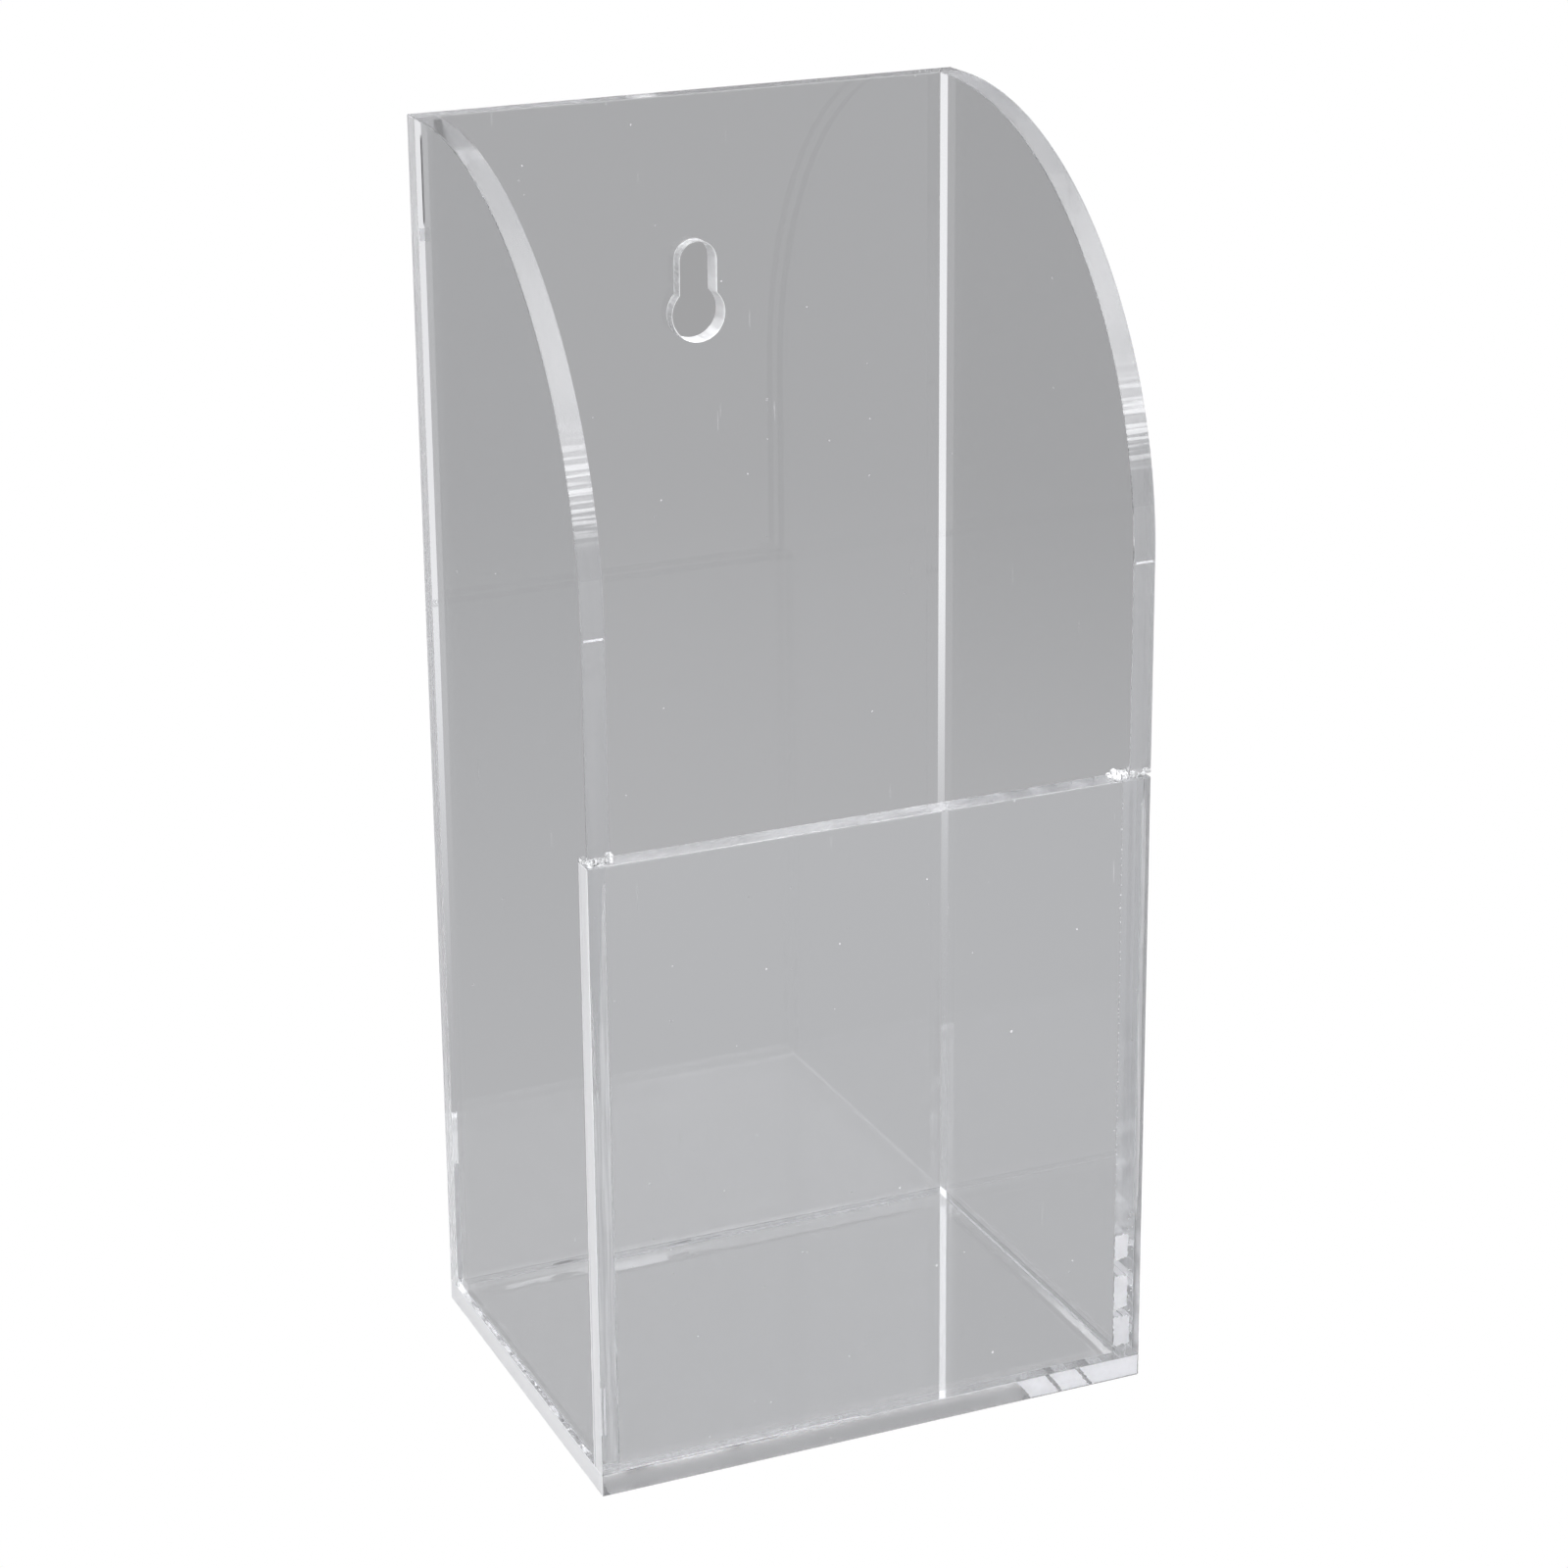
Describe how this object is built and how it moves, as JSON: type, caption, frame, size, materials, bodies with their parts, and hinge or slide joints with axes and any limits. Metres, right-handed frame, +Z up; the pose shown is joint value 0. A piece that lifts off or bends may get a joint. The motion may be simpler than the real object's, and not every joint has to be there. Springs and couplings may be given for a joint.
{
  "type": "wall-hung acrylic holder box",
  "caption": "Clear acrylic holder box, open at the top with a low front and swept side panels, hung on the wall by a keyhole in its back panel.",
  "frame": {"origin": "centre of the footprint on the underside of the base panel", "axes": "+X to the right seen from the front, +Y towards the wall, +Z up"},
  "size_m": [0.075, 0.057, 0.163],
  "materials": {
    "clear_acrylic": "clear cast acrylic sheet, polished faces, fine milling lines across the cut edges",
    "hardened_cement": "clear hardened solvent cement, lumpy and full of small bubbles"
  },
  "bodies": {
    "root": {"base_panel": "clear_acrylic", "back_panel": "clear_acrylic", "front_panel": "clear_acrylic", "left_side_panel": "clear_acrylic", "right_side_panel": "clear_acrylic", "left_cement_bead": "hardened_cement", "right_cement_bead": "hardened_cement"}
  },
  "joints": []
}
